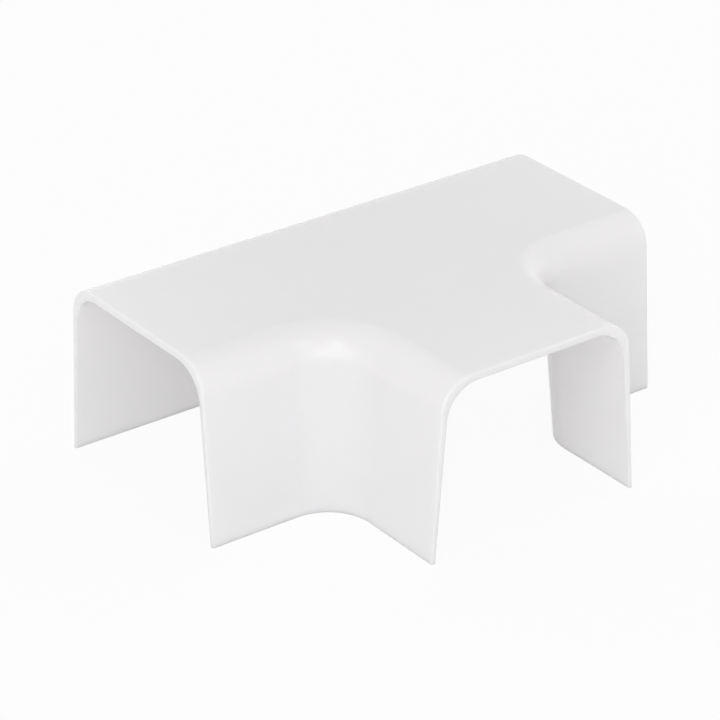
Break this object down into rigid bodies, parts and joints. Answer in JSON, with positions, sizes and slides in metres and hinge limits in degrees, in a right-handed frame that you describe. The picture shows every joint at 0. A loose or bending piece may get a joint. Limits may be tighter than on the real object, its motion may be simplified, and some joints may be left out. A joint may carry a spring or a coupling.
{
  "type": "trunking tee fitting",
  "caption": "Flat tee cover for surface trunking, open underneath, with leaning walls, rounded top edges and upright corners that sweep from the run into the branch.",
  "frame": {"origin": "where the centre lines of the run and the branch cross, on the plane that the rims stand on", "axes": "+X along the run, -Y along the branch, +Z from the wall to the flat top"},
  "size_m": [0.08, 0.0582, 0.0278],
  "materials": {
    "white_plastic": "satin white moulded plastic, self-coloured, plain"
  },
  "bodies": {
    "root": {"tee_cover": "white_plastic"}
  },
  "joints": []
}
